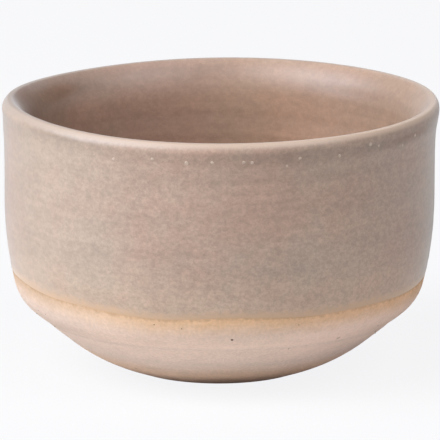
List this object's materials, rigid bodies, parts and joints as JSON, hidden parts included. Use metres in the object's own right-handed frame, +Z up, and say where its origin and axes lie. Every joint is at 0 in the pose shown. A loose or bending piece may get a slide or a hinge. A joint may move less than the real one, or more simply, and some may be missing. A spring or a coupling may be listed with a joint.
{
  "type": "espresso cup",
  "caption": "Round handleless stoneware espresso cup with a softly flared lip, a satin taupe glaze inside and out, and a bare trimmed clay heel.",
  "frame": {"origin": "centre of the flat foot, on the surface that the cup stands on", "axes": "+Z up along the axis that the cup was turned about; X and Y are free, because the cup is round"},
  "size_m": [0.08, 0.08, 0.0497],
  "materials": {
    "bare_stoneware": "matte",
    "liner_glaze": "satin",
    "outer_glaze": "satin"
  },
  "bodies": {
    "root": {"stoneware_body": "bare_stoneware", "liner_glaze": "liner_glaze", "outer_glaze": "outer_glaze"}
  },
  "joints": []
}
